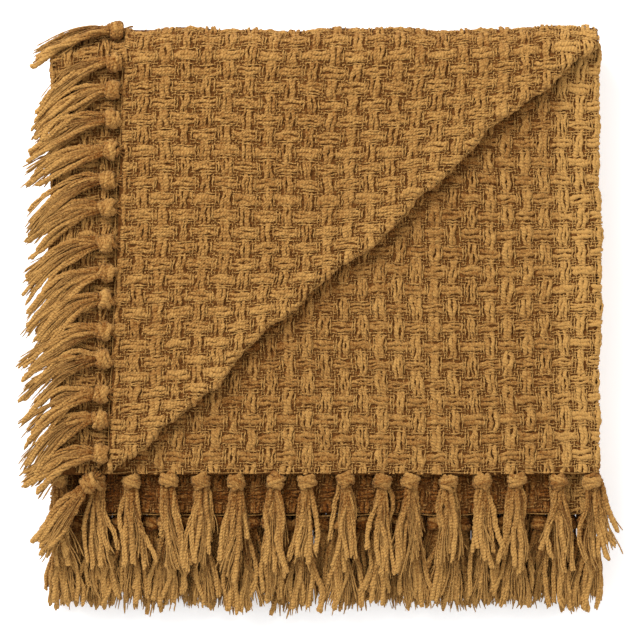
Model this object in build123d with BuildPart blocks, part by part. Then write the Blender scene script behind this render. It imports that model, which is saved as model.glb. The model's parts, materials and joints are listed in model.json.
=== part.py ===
from build123d import *
import math
import os

# Folded throw blanket: a fringed woven throw folded in thirds across its width and then
# twice along its length, with the corner of its top layer turned back over a diagonal crease.
# Millimetres. +Z up, +Y towards the folded back edge, -Y towards the fringed front,
# origin at the middle of the underside.

os.makedirs("parts", exist_ok=True)

# ---- the cloth
throw_width = 1299.0  # across the throw, selvedge to selvedge, before folding
layer_thick = 4.2  # one layer of the chunky weave
layer_gap = 0.6  # air between two layers

# ---- the folded stack
stack_depth = 351.0  # back edge to the first quarter's fringed edge
last_edge_ahead = 31.0  # how much further forward the last quarter's fringed edge lies
under_edge_behind = 13.5  # the first quarter's lowest third ends this far under the middle one
front_fold_inset = 11.0  # the front fold stops this far behind the last fringed edge
selvedge_inset = 4.0  # free side edges stop this far inside the folded ones

# ---- the turned-back corner
crease_right_inset = 2.4  # crease end from the right edge, at the back
crease_back_inset = 3.1  # the same end from the back edge
crease_left_inset = 43.7  # crease end from the left edge, at the front
crease_front_inset = 1.6  # the same end from the fringed edge
crease_lift = 2.2  # crease line above the middle of the two layers it joins
crease_radius = 4.5  # the soft roll along the crease
crease_collar = 7.0  # flat strip of the corner carried by the roll
corner_clear = 0.4  # still cloth to turning cloth
flap_front_inset = 49.0  # corner's fringed edge from the left edge, at the front
flap_back_inset = 60.5  # the same edge at the back
lip_angle = 58.0  # how far the corner hangs over the back bend, in degrees

# ---- the fringe
knot_radius = 4.6
knot_length = 12.0
knot_neck_share = 0.55  # radius at the two ends of a knot, as a share of knot_radius
knot_waist_share = 0.86  # radius between its two wraps
knot_second_share = 0.96  # radius of its second wrap
knot_first_at = 0.27  # place of the first wrap, as a share of knot_length
knot_waist_at = 0.52
knot_second_at = 0.75
knot_pitch = 27.7
flap_knot_pitch = 23.5  # the turned corner is drawn together along its fringed edge
flap_first_knot = 18.0  # from the front edge of the stack to the corner's first knot
strand_root_radius = 0.85
strand_tip_radius = 1.75
strand_spread = 1.9  # spacing of the strands where they leave the knot
strand_fan = 4.4  # spacing of the same strands at their tips
strand_lengths = (55.0, 61.0, 64.0, 59.0, 53.0)  # the strands of one tassel, side by side
strand_start = 0.3  # end of the knot to the root of its strands
thread_radius = 0.6
fringe_clear = 0.4  # fringe of one layer to cloth or fringe of the next
first_fall = 0.012  # how far the tassels fall for each millimetre they run, first quarter
corner_fall = 0.02  # the same for the one left of the top layer
corner_lean = 0.45  # sideways run of that one
corner_strand_drop = 1.2  # its strands start this far under the middle of their knot
last_falls = (0.10, 0.18, 0.26)  # last quarter, from its upper layer to its lower one
flap_lean = 0.12  # the turned corner's tassels run a little towards the front
flap_fall = 0.025
flap_strand_drop = 0.6
flap_strand_start = 0.6  # end of a knot of the turned corner to the root of its strands

# ---- sizes that follow
pitch = layer_thick + layer_gap
half_width = throw_width / 6
loop_radius = (pitch + layer_thick) / 2
back_edge = stack_depth / 2
first_edge = -stack_depth / 2
last_edge = first_edge - last_edge_ahead
stack_top = 11 * pitch + layer_thick
back_radius = stack_top / 2
back_start = back_edge - back_radius
front_radius = (5 * pitch + layer_thick) / 2
front_start = last_edge + front_fold_inset + front_radius
side = half_width - loop_radius
free_side = half_width - selvedge_inset
flap_base = stack_top + layer_gap
hinge_z = stack_top + layer_gap / 2 + crease_lift

# ---- the crease line, from its front left end to its back right end
crease_ax = -half_width + crease_left_inset
crease_ay = first_edge + crease_front_inset
crease_bx = half_width - crease_right_inset
crease_by = back_edge - crease_back_inset
crease_length = math.hypot(crease_bx - crease_ax, crease_by - crease_ay)
along_x = (crease_bx - crease_ax) / crease_length
along_y = (crease_by - crease_ay) / crease_length
across_x = -along_y  # from the crease towards the back left corner
across_y = along_x


def crease_point(distance, offset):
    """A point in plan: distance along the crease, offset towards the back left."""
    x = crease_ax + along_x * distance + across_x * offset
    y = crease_ay + along_y * distance + across_y * offset
    return (x, y)


def save(part, label):
    part.label = label
    export_step(part, "parts/" + label + ".step")


def layer_z(level):
    return level * pitch


# ---------------------------------------------------------------- flat panels of the folded cloth
def flat_panel(label, level, x0, x1, y0, y1):
    with BuildPart() as panel:
        with BuildSketch(Plane.XY.offset(layer_z(level))):
            with Locations(((x0 + x1) / 2, (y0 + y1) / 2)):
                Rectangle(x1 - x0, y1 - y0)
        extrude(amount=layer_thick)
    save(panel.part, label)


def top_panel_with_turned_corner():
    """The top layer ends at the crease: the rest of it is the turned-back corner."""
    still_edge = crease_radius + corner_clear
    far = crease_point(2 * crease_length, still_edge)
    near = crease_point(-crease_length, still_edge)
    with BuildPart() as panel:
        with BuildSketch(Plane.XY.offset(layer_z(11))):
            with Locations(((free_side - side) / 2, (first_edge + back_start) / 2)):
                Rectangle(free_side + side, back_start - first_edge)
            with BuildLine():
                Polyline(near, far, (far[0], near[1] - stack_depth), near, close=True)
            make_face(mode=Mode.SUBTRACT)
        extrude(amount=layer_thick)
    save(panel.part, "quarter1_top_panel")


def all_panels():
    top_panel_with_turned_corner()
    flat_panel("quarter1_middle_panel", 10, -side, side, first_edge, back_start)
    under_front = first_edge + under_edge_behind
    flat_panel("quarter1_under_panel", 9, -free_side, side, under_front, back_start)
    flat_panel("quarter4_top_panel", 8, -free_side, side, last_edge, back_start)
    flat_panel("quarter4_middle_panel", 7, -side, side, last_edge, back_start)
    flat_panel("quarter4_under_panel", 6, -side, free_side, last_edge, back_start)
    flat_panel("quarter3_top_panel", 5, -side, free_side, front_start, back_start)
    flat_panel("quarter3_middle_panel", 4, -side, side, front_start, back_start)
    flat_panel("quarter3_under_panel", 3, -free_side, side, front_start, back_start)
    flat_panel("quarter2_top_panel", 2, -free_side, side, front_start, back_start)
    flat_panel("quarter2_middle_panel", 1, -side, side, front_start, back_start)
    flat_panel("quarter2_base_panel", 0, -side, free_side, front_start, back_start)


# ---------------------------------------------------------------- long folds at the two sides
def side_fold(label, lower_level, sign, y0, y1):
    """Half-round fold that joins two neighbouring layers along one side."""
    middle = layer_z(lower_level) + loop_radius
    with BuildPart() as fold:
        with BuildSketch(Plane.XZ.offset(-y1)):
            with Locations((sign * side, middle)):
                Circle(loop_radius)
            with Locations((sign * (side - loop_radius), middle)):
                Rectangle(2 * loop_radius, 3 * loop_radius, mode=Mode.SUBTRACT)
        extrude(amount=y1 - y0)
    save(fold.part, label)


def all_side_folds():
    side_fold("quarter1_left_fold", 10, -1, first_edge, back_start)
    side_fold("quarter4_left_fold", 6, -1, last_edge, back_start)
    side_fold("quarter3_left_fold", 4, -1, front_start, back_start)
    side_fold("quarter2_left_fold", 0, -1, front_start, back_start)
    side_fold("quarter1_right_fold", 9, 1, first_edge, back_start)
    side_fold("quarter4_right_fold", 7, 1, last_edge, back_start)
    side_fold("quarter3_right_fold", 3, 1, front_start, back_start)
    side_fold("quarter2_right_fold", 1, 1, front_start, back_start)


# ---------------------------------------------------------------- bends at the back and the front
def bend(label, outer, centre_y, centre_z, toward_back, x0, x1):
    """Half-round bend of one layer, outer being its outside radius."""
    cut_y = centre_y - toward_back * outer
    with BuildPart() as shell:
        with BuildSketch(Plane.YZ.offset(x0)):
            with Locations((centre_y, centre_z)):
                Circle(outer)
                Circle(outer - layer_thick, mode=Mode.SUBTRACT)
            with Locations((cut_y, centre_z)):
                Rectangle(2 * outer, 3 * outer, mode=Mode.SUBTRACT)
        extrude(amount=x1 - x0)
    save(shell.part, label)


def back_bend_of_top_layer():
    """The outermost bend, without the piece of it that belongs to the turned-back corner."""
    still_edge = crease_radius + corner_clear
    far = crease_point(2 * crease_length, still_edge)
    near = crease_point(-crease_length, still_edge)
    with BuildPart() as shell:
        with BuildSketch(Plane.YZ.offset(-side)):
            with Locations((back_start, back_radius)):
                Circle(back_radius)
                Circle(back_radius - layer_thick, mode=Mode.SUBTRACT)
            with Locations((back_start - back_radius, back_radius)):
                Rectangle(2 * back_radius, 3 * back_radius, mode=Mode.SUBTRACT)
        extrude(amount=free_side + side)
        with BuildSketch(Plane.XY.offset(back_radius)):
            with BuildLine():
                Polyline(near, far, (far[0], near[1] - stack_depth), near, close=True)
            make_face()
        extrude(amount=stack_top, mode=Mode.SUBTRACT)
    save(shell.part, "back_bend_outer_top_layer")


def all_bends():
    back_bend_of_top_layer()
    middle_outer = back_radius - pitch
    under_outer = back_radius - 2 * pitch
    bend("back_bend_outer_middle_layer", middle_outer, back_start, back_radius, 1, -side, side)
    bend("back_bend_outer_under_layer", under_outer, back_start, back_radius, 1, -free_side, side)
    inner = back_radius - 3 * pitch
    bend("back_bend_inner_first_layer", inner, back_start, back_radius, 1, -free_side, side)
    inner = back_radius - 4 * pitch
    bend("back_bend_inner_middle_layer", inner, back_start, back_radius, 1, -side, side)
    inner = back_radius - 5 * pitch
    bend("back_bend_inner_last_layer", inner, back_start, back_radius, 1, -side, free_side)
    outer = front_radius
    bend("front_bend_outer_layer", outer, front_start, front_radius, -1, -side, free_side)
    outer = front_radius - pitch
    bend("front_bend_middle_layer", outer, front_start, front_radius, -1, -side, side)
    outer = front_radius - 2 * pitch
    bend("front_bend_inner_layer", outer, front_start, front_radius, -1, -free_side, side)


# ---------------------------------------------------------------- where a side fold goes round a bend
def bend_corner(label, sign, swing, centre_y, centre_z, toward_back):
    """Side fold carried round a bend; swing is its distance from the bend's axis."""
    with BuildPart() as corner:
        with BuildSketch(Plane.XZ.offset(-centre_y)):
            with Locations((sign * side, centre_z + swing)):
                Circle(loop_radius)
            with Locations((sign * (side - loop_radius), centre_z + swing)):
                Rectangle(2 * loop_radius, 3 * loop_radius, mode=Mode.SUBTRACT)
        turning = Axis((0, centre_y, centre_z), (-toward_back, 0, 0))
        revolve(axis=turning, revolution_arc=180)
    save(corner.part, label)


def all_bend_corners():
    outer_tm = back_radius - layer_thick - layer_gap / 2
    bend_corner("back_left_corner_outer", -1, outer_tm, back_start, back_radius, 1)
    inner_tm = layer_gap / 2 + loop_radius
    bend_corner("back_left_corner_inner", -1, inner_tm, back_start, back_radius, 1)
    outer_mb = outer_tm - pitch
    bend_corner("back_right_corner_outer", 1, outer_mb, back_start, back_radius, 1)
    inner_mb = inner_tm + pitch
    bend_corner("back_right_corner_inner", 1, inner_mb, back_start, back_radius, 1)
    bend_corner("front_left_corner", -1, inner_mb, front_start, front_radius, -1)
    bend_corner("front_right_corner", 1, inner_tm, front_start, front_radius, -1)


# ---------------------------------------------------------------- the fringe
def make_knot():
    """One overhand knot: a barrel with two wraps, its axis along +Z from the cloth."""
    neck = knot_neck_share * knot_radius
    waist = knot_waist_share * knot_radius
    second = knot_second_share * knot_radius
    with BuildPart() as knot:
        with BuildSketch(Plane.XZ):
            with BuildLine():
                Line((0, 0), (neck, 0))
                start = (neck, 0)
                middle = (waist, knot_waist_at * knot_length)
                end = (neck, knot_length)
                ThreePointArc(start, (knot_radius, knot_first_at * knot_length), middle)
                ThreePointArc(middle, (second, knot_second_at * knot_length), end)
                Line(end, (0, knot_length))
                Line((0, knot_length), (0, 0))
            make_face()
        revolve(axis=Axis.Z)
    return knot.part


def make_pressed_knot(thickness):
    """The same knot pressed flat between two layers."""
    with BuildPart() as pressed:
        add(make_knot())
        with Locations((0, 0, knot_length / 2)):
            Box(thickness, 4 * knot_radius, 2 * knot_length, mode=Mode.INTERSECT)
    return pressed.part


def knot_row(label, places, knot):
    """places holds (point, direction) pairs: where each knot starts and which way it points."""
    planes = []
    for point, direction in places:
        planes.append(Plane(origin=point, x_dir=(0, 0, 1), z_dir=direction))
    with BuildPart() as row:
        with Locations(*planes):
            add(knot)
    save(row.part, label)


def strand_row(label, places):
    """places holds (point, direction, side direction): the root of each tassel."""
    count = len(strand_lengths)
    middle = (count - 1) / 2
    with BuildPart() as row:
        for index in range(count):
            rank = index - middle
            length = strand_lengths[index]
            planes = []
            for point, direction, sideways in places:
                start = Vector(*point) + Vector(*sideways) * (rank * strand_spread)
                run = Vector(*direction).normalized() * length
                opening = Vector(*sideways) * (rank * (strand_fan - strand_spread))
                planes.append(Plane(origin=start, z_dir=run + opening))
            with Locations(*planes):
                Cone(strand_root_radius, strand_tip_radius, length,
                     align=(Align.CENTER, Align.CENTER, Align.MIN))
    save(row.part, label)


def row_positions(count):
    """Knot positions across the stack, evenly to both sides of its middle."""
    first = -(count - 1) / 2 * knot_pitch
    positions = []
    for index in range(count):
        positions.append(first + index * knot_pitch)
    return positions


def front_row(name, positions, edge, knot, knot_z, strand_z, fall, lean):
    """One layer's fringe along the front: its tassels fall, and lean to the left."""
    knots = []
    tassels = []
    gap = strand_start + lean * 2 * strand_spread
    start = edge - 2 * thread_radius
    for x in positions:
        knots.append(((x, start, knot_z), (0, -1, 0)))
        root = (x, start - knot_length - gap, strand_z)
        tassels.append((root, (-lean, -1, -fall), (1, 0, 0)))
    knot_row(name + "_knots", knots, knot)
    strand_row(name + "_tassels", tassels)


def edge_threads(label, rows):
    """The thread that runs along each fringed edge, between the cloth and its knots."""
    with BuildPart() as threads:
        for left, right, edge, height in rows:
            middle = ((left + right) / 2, edge - thread_radius, height)
            with Locations(Plane(origin=middle, z_dir=(1, 0, 0))):
                Cylinder(thread_radius, right - left)
    save(threads.part, label)


def front_fringe():
    knot = make_knot()
    full_count = int(2 * side / knot_pitch) + 1
    full = row_positions(full_count)
    between = row_positions(full_count - 1)
    # the first quarter's fringe lies on the last quarter's cloth
    cloth_top = layer_z(8) + layer_thick
    first_z = cloth_top + fringe_clear + knot_radius
    middle_z = layer_z(10) + layer_thick - strand_tip_radius
    front_row("quarter1_middle_fringe", full, first_edge, knot, first_z, middle_z, first_fall, 0.0)
    # the lowest third ends under the middle one, its knots pressed flat between the layers
    under_edge = first_edge + under_edge_behind
    under_z = (cloth_top + layer_z(10)) / 2
    pressed = make_pressed_knot(layer_z(10) - cloth_top - 2 * fringe_clear)
    front_row("quarter1_under_fringe", between, under_edge, pressed, under_z, under_z, 0.0, 0.0)
    # what is left of the top layer's fringe lies at the left corner, over the one below it
    top_z = first_z + 2 * knot_radius + fringe_clear
    corner = full[1:2]
    strand_z = top_z - corner_strand_drop
    front_row("quarter1_top_fringe", corner, first_edge, knot, top_z, strand_z, corner_fall,
              corner_lean)
    threads = [
        (-side, full[1] + knot_radius, first_edge, layer_z(12) - layer_gap - thread_radius),
        (-side, side, first_edge, layer_z(10) + thread_radius),
        (-free_side, side, under_edge, under_z),
    ]
    edge_threads("quarter1_edge_threads", threads)
    # the last quarter's three layers hang further forward and fall towards the ground
    fourth_z = cloth_top - knot_radius
    third_z = fourth_z - pitch
    second_z = third_z - pitch
    upper, middle, lower = last_falls
    front_row("quarter4_top_fringe", full, last_edge, knot, fourth_z, fourth_z, upper, 0.0)
    front_row("quarter4_middle_fringe", between, last_edge, knot, third_z, third_z, middle, 0.0)
    front_row("quarter4_under_fringe", full, last_edge, knot, second_z, second_z, lower, 0.0)
    threads = [
        (-free_side, side, last_edge, layer_z(8) + thread_radius),
        (-side, side, last_edge, layer_z(7) + thread_radius),
        (-side, free_side, last_edge, layer_z(6) + thread_radius),
    ]
    edge_threads("quarter4_edge_threads", threads)


# ---------------------------------------------------------------- the turned-back corner
def flap_edge_x(y):
    """Where the corner's fringed edge lies, at a distance y from the middle of the stack."""
    front = -half_width + flap_front_inset
    back = -half_width + flap_back_inset
    share = (y - first_edge) / (back_edge - first_edge)
    return front + (back - front) * share


def outside_flap(offset):
    """Plans of what lies left of the fringed edge, and within an offset of the crease or past it."""
    reach = 2 * stack_depth
    left = [
        (flap_edge_x(-reach), -reach),
        (flap_edge_x(reach), reach),
        (-2 * reach, reach),
        (-2 * reach, -reach),
    ]
    near = crease_point(-reach, offset)
    far = crease_point(2 * reach, offset)
    right = [near, far, (far[0], near[1] - reach)]
    return left, right


def flap_panel():
    left, right = outside_flap(crease_collar)
    with BuildPart() as panel:
        with BuildSketch(Plane.XY.offset(flap_base)):
            with Locations((0, (first_edge + back_start) / 2)):
                Rectangle(2 * half_width, back_start - first_edge)
            with BuildLine():
                Polyline(*left, left[0])
            make_face(mode=Mode.SUBTRACT)
            with BuildLine():
                Polyline(*right, right[0])
            make_face(mode=Mode.SUBTRACT)
        extrude(amount=layer_thick)
    save(panel.part, "corner_panel")


def flap_lip():
    """The strip of the corner that hangs over the back bend."""
    left, right = outside_flap(corner_clear)
    inner = back_radius + layer_gap
    outer = inner + layer_thick
    turn = math.radians(lip_angle)
    far_y = back_start + 2 * outer * math.sin(turn)
    far_z = back_radius + 2 * outer * math.cos(turn)
    with BuildPart() as lip:
        with BuildSketch(Plane.YZ.offset(-half_width)):
            with BuildLine():
                Polyline((back_start, back_radius), (back_start, back_radius + 3 * outer),
                         (far_y, far_z), (back_start, back_radius))
            make_face()
            with Locations((back_start, back_radius)):
                Circle(outer, mode=Mode.INTERSECT)
                Circle(inner, mode=Mode.SUBTRACT)
        extrude(amount=2 * half_width)
        with BuildSketch(Plane.XY):
            with BuildLine():
                Polyline(*left, left[0])
            make_face()
            with BuildLine():
                Polyline(*right, right[0])
            make_face()
        extrude(amount=3 * stack_top, mode=Mode.SUBTRACT)
    save(lip.part, "corner_back_lip")


def flap_crease():
    """The soft roll along the crease, with the strip of cloth that leaves it."""
    back_skip = (crease_by - back_start + crease_collar * across_y) / along_y
    front_skip = (flap_edge_x(crease_ay) - crease_ax - crease_collar * across_x) / along_x
    length = crease_length - back_skip - front_skip
    start = crease_point(front_skip, 0)
    origin = (start[0], start[1], hinge_z)
    across = (across_x, across_y, 0)
    strip_low = flap_base - hinge_z
    with BuildPart() as crease:
        with BuildSketch(Plane(origin=origin, x_dir=across, z_dir=(along_x, along_y, 0))):
            Circle(crease_radius)
            with Locations((crease_collar / 2, strip_low + layer_thick / 2)):
                Rectangle(crease_collar, layer_thick)
        extrude(amount=length)
    save(crease.part, "corner_crease")


def flap_knot_places():
    """Root of each knot on the corner's edge and how steeply the cloth falls there, in radians."""
    count = int((stack_depth - flap_first_knot) / flap_knot_pitch) + 1
    radius = back_radius + fringe_clear + knot_radius
    places = []
    for index in range(count):
        y = first_edge + flap_first_knot + index * flap_knot_pitch
        slope = math.asin(max(0, y - back_start) / radius)
        z = back_radius + radius * math.cos(slope)
        places.append((flap_edge_x(y) - 2 * thread_radius, y, z, slope))
    return places


def flap_fringe():
    knots = []
    tassels = []
    for x, y, z, slope in flap_knot_places():
        knots.append(((x, y, z), (-1, 0, 0)))
        down = (0, math.cos(slope), -math.sin(slope))
        root = (x - knot_length - flap_strand_start, y, z - flap_strand_drop)
        run = (-1, -flap_lean * down[1], -flap_lean * down[2] - flap_fall)
        tassels.append((root, run, down))
    knot_row("corner_knots", knots, make_knot())
    strand_row("corner_tassels", tassels)


def flap_edge_thread():
    low_y = first_edge + flap_first_knot
    height = flap_base + layer_thick - thread_radius
    low = Vector(flap_edge_x(low_y) - thread_radius, low_y, height)
    high = Vector(flap_edge_x(back_start) - thread_radius, back_start, height)
    with BuildPart() as thread:
        with Locations(Plane(origin=(low + high) / 2, z_dir=high - low)):
            Cylinder(thread_radius, (high - low).length)
    save(thread.part, "corner_edge_thread")


all_panels()
all_side_folds()
all_bends()
all_bend_corners()
front_fringe()
flap_panel()
flap_lip()
flap_crease()
flap_fringe()
flap_edge_thread()
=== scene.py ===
# %% [markdown]
# # A folded throw blanket with a knotted fringe
# A throw is one long sheet of cloth woven from thick soft yarns and thin ones. Here it lies folded
# into a square stack, with one corner of its top layer turned back so that the fringe shows on two
# sides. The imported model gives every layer, fold and knot its place, and this lesson lays the
# yarns over those places one by one.

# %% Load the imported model
import bpy
import json
import math
import numpy as np
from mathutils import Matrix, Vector


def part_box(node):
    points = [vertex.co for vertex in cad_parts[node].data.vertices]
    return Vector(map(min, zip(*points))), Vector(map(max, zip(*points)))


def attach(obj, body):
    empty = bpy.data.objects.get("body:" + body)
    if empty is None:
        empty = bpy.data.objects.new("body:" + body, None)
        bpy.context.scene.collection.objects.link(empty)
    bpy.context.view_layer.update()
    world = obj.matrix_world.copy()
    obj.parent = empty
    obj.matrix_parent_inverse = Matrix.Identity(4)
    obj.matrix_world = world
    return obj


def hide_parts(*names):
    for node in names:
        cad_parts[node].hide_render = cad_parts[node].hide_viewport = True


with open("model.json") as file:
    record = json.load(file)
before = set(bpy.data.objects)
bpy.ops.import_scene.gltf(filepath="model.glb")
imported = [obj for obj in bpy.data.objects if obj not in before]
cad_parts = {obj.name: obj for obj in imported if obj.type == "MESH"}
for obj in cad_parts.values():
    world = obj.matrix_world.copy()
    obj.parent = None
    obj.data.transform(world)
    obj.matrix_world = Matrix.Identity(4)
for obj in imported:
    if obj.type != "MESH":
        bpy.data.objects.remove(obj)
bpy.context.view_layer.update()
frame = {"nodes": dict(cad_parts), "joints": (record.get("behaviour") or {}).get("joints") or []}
SEED = 7
random = np.random.default_rng(SEED)

# %% [markdown]
# ## Reading the fold from the model
# All sizes come from the boxes of the model's own layers. The sheet is folded in three across its
# width, like a letter, and then bent twice along its length. Every layer has the same thickness and
# the same little air gap, so the distance from one layer to the next is read from two neighbours.

# %% Sizes of the folded stack
MM = 0.001


def low_high(node):
    """The lowest and the highest corner of one node of the model, in metres."""
    low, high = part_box(node)
    return np.array(low), np.array(high)


middle_low, middle_high = low_high("quarter1_middle_panel")
top_low, top_high = low_high("quarter1_top_panel")
last_low, _ = low_high("quarter4_top_panel")
base_low, base_high = low_high("quarter2_base_panel")
under_low, _ = low_high("quarter1_under_panel")
bend_low, bend_high = low_high("back_bend_outer_middle_layer")
corner_low, corner_high = low_high("corner_panel")

layer_thick = middle_high[2] - middle_low[2]
layer_pitch = top_low[2] - middle_low[2]
side_x = middle_high[0]
free_x = base_high[0]
first_edge = middle_low[1]
last_edge = last_low[1]
back_start = middle_high[1]
front_start = base_low[1]
bend_z = (bend_low[2] + bend_high[2]) / 2
outer_radius = bend_high[1] - back_start - layer_thick / 2
inner_radius = 1.5 * layer_pitch
front_z = base_low[2] + layer_thick / 2 + 2.5 * layer_pitch
print("layer", layer_thick, "pitch", layer_pitch, "bend radii", outer_radius, inner_radius)

# %% [markdown]
# ## The crease
# The corner turns about a straight line. The joint of the model says where that line is and which
# way it runs, so the crease, the roll of cloth along it and the edge of the layer below all take
# their places from the joint.

# %% The crease line in plan
joint = frame["joints"][0]
crease_point = np.array(joint["pos_m"][:2])
crease_along = np.array(joint["axis"][:2])
crease_across = np.array([-crease_along[1], crease_along[0]])
corner_z = (corner_low[2] + corner_high[2]) / 2
top_z = (top_low[2] + top_high[2]) / 2


def beyond_crease(x, y):
    """Distance from the crease, positive towards the back left corner."""
    return (x - crease_point[0]) * crease_across[0] + (y - crease_point[1]) * crease_across[1]


print("crease runs", crease_along, "through", crease_point)

# %% [markdown]
# ## One function that folds the whole throw
# The sheet has two directions: u across its width and v along its length. Across, it is a letter
# fold: top third, left fold, middle third, right fold, lowest third. Along, the middle third follows
# a winding path: over, round the back, under, round the front, and back again inside. A point of the
# sheet is found by walking along that path and stepping sideways by the letter fold. Because the
# function takes a height h above the cloth too, every yarn can be bent round the folds with it.

# %% The path along the length
path_straight = [
    back_start - first_edge,
    back_start - front_start,
    back_start - front_start,
    back_start - last_edge,
]
path_lengths = [
    path_straight[0],
    math.pi * outer_radius,
    path_straight[1],
    math.pi * inner_radius,
    path_straight[2],
    math.pi * inner_radius,
    path_straight[3],
]
path_starts = np.concatenate([[0], np.cumsum(path_lengths)])
sheet_length = path_starts[-1]
PAST_END = 20 * MM


def along_path(v):
    """(y, z, normal y, normal z) of the middle third at a distance v along the throw."""
    v = np.clip(v, -PAST_END, sheet_length + PAST_END)
    part = np.clip(np.searchsorted(path_starts, v, side="right") - 1, 0, 6)
    run = v - path_starts[part]
    one = np.ones_like(v)
    zero = np.zeros_like(v)
    outer = run / outer_radius
    inner = run / inner_radius
    choices_y = [
        first_edge + run,
        back_start + outer_radius * np.sin(outer),
        back_start - run,
        front_start - inner_radius * np.sin(inner),
        front_start + run,
        back_start + inner_radius * np.sin(inner),
        back_start - run,
    ]
    choices_z = [
        (bend_z + outer_radius) * one,
        bend_z + outer_radius * np.cos(outer),
        (bend_z - outer_radius) * one,
        front_z - inner_radius * np.cos(inner),
        (front_z + inner_radius) * one,
        bend_z - inner_radius * np.cos(inner),
        (bend_z + inner_radius) * one,
    ]
    choices_ny = [zero, np.sin(outer), zero, -np.sin(inner), zero, -np.sin(inner), zero]
    choices_nz = [one, np.cos(outer), -one, -np.cos(inner), one, np.cos(inner), -one]
    where = [part == k for k in range(7)]
    return (
        np.select(where, choices_y),
        np.select(where, choices_z),
        np.select(where, choices_ny),
        np.select(where, choices_nz),
    )


print("cloth length", round(float(sheet_length), 4), "m")

# %% The letter fold across the width
loop_radius = layer_pitch / 2
span = side_x + free_x
across_lengths = [span, math.pi * loop_radius, 2 * side_x, math.pi * loop_radius, span]
across_starts = np.concatenate([[0], np.cumsum(across_lengths)])
sheet_width = across_starts[-1]


def across_fold(u):
    """(x, step along the path's normal, face normal x, face normal step) at u across the throw."""
    part = np.clip(np.searchsorted(across_starts, u, side="right") - 1, 0, 4)
    run = u - across_starts[part]
    turn = run / loop_radius
    one = np.ones_like(u)
    zero = np.zeros_like(u)
    choices_x = [
        free_x - run,
        -side_x - loop_radius * np.sin(turn),
        -side_x + run,
        side_x + loop_radius * np.sin(turn),
        side_x - run,
    ]
    choices_step = [
        layer_pitch * one,
        loop_radius + loop_radius * np.cos(turn),
        zero,
        -loop_radius + loop_radius * np.cos(turn),
        -layer_pitch * one,
    ]
    choices_mx = [zero, -np.sin(turn), zero, -np.sin(turn), zero]
    choices_ms = [one, np.cos(turn), -one, -np.cos(turn), one]
    where = [part == k for k in range(5)]
    return (
        np.select(where, choices_x),
        np.select(where, choices_step),
        np.select(where, choices_mx),
        np.select(where, choices_ms),
    )


LEFT_CORNER_DRAWN = 9 * MM
RIGHT_CORNER_DRAWN = 3.5 * MM


def soft_corners(points):
    """Round the two back corners of the soft stack in plan, and let its outer edges waver."""
    x, y, z = points[..., 0], points[..., 1], points[..., 2]
    near_back = np.clip((y - back_start + 30 * MM) / (50 * MM), 0, 1)
    left = np.clip((-x - 165 * MM) / (50 * MM), 0, 1.1)
    right = np.clip((x - 185 * MM) / (30 * MM), 0, 1.1)
    y = y - near_back * (LEFT_CORNER_DRAWN * left ** 2 + RIGHT_CORNER_DRAWN * right ** 2)
    at_back = np.clip((y - back_start) / (14 * MM), 0, 1)
    at_side = np.clip((np.abs(x) - side_x + 12 * MM) / (14 * MM), 0, 1)
    back_wave = 1.1 * np.sin(x / 0.023) + 0.7 * np.sin(x / 0.0091 + 1)
    side_wave = 1.2 * np.sin(y / 0.034 + 2) + 0.7 * np.sin(y / 0.0117)
    x = x + np.sign(x) * at_side * side_wave * MM
    y = y + at_back * back_wave * MM
    return np.stack([x, y, z], axis=-1)


def fold_throw(u, v, h):
    """Place of the point (u, v) of the flat throw, h above its face, in the folded stack."""
    u, v, h = np.broadcast_arrays(u, v, h)
    x, step, face_x, face_step = across_fold(u)
    y, z, normal_y, normal_z = along_path(v)
    rise = step + h * face_step
    return soft_corners(np.stack([x + h * face_x, y + normal_y * rise, z + normal_z * rise], axis=-1))


print("cloth width", round(float(sheet_width), 4), "m")

# %% [markdown]
# ## The turned-back corner has its own fold
# A soft corner that is turned back never lands as a perfect mirror image: the cloth was drawn out
# along its warp and closed up along its fringed edge until that edge hung straight. So its weave is
# laid out afresh, as a distance from the fringed edge and a distance from the front. Past the
# crease it rolls under, and past the start of the back bend it hangs over the back of the stack.
# The roll isn't pressed flat: the cloth puffs up along it, the fold wavers, and the weave beside it
# is dragged towards the back.

# %% Fold of the turned-back corner
edge_thread_low, edge_thread_high = low_high("corner_edge_thread")
edge_slope = (edge_thread_high[0] - edge_thread_low[0]) / (edge_thread_high[1] - edge_thread_low[1])
edge_base_x = edge_thread_high[0] + edge_slope * (back_start - edge_thread_high[1])
roll_radius = (corner_z - top_z) / 2
lip_radius = corner_z - bend_z
PUFF = 3.2 * MM
PUFF_WIDE = 21 * MM
SKEW = 6.5 * MM
SKEW_WIDE = 34 * MM
MOST_ROLL = 2.7


def wavy_reach(x, y):
    """Distance from the corner's own fold, which wavers a little along the straight crease."""
    run = (x - crease_point[0]) * crease_along[0] + (y - crease_point[1]) * crease_along[1]
    waver = 2.5 * np.sin(run / 0.033 + 0.6) + 1.6 * np.sin(run / 0.0135) + 0.9 * np.sin(run / 0.0061)
    return beyond_crease(x, y) + waver * MM


def corner_edge_x(y):
    """x of the corner's fringed edge at a distance y from the middle of the stack."""
    return edge_base_x + (y - back_start) * edge_slope


def corner_plan(a, b):
    """Flat place of a point of the corner, with its distance from the corner's own fold."""
    x = corner_edge_x(b) + a
    dragged = b + SKEW * np.exp(-np.maximum(beyond_crease(x, b), 0) / SKEW_WIDE)
    return x, dragged, wavy_reach(x, dragged)


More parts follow.
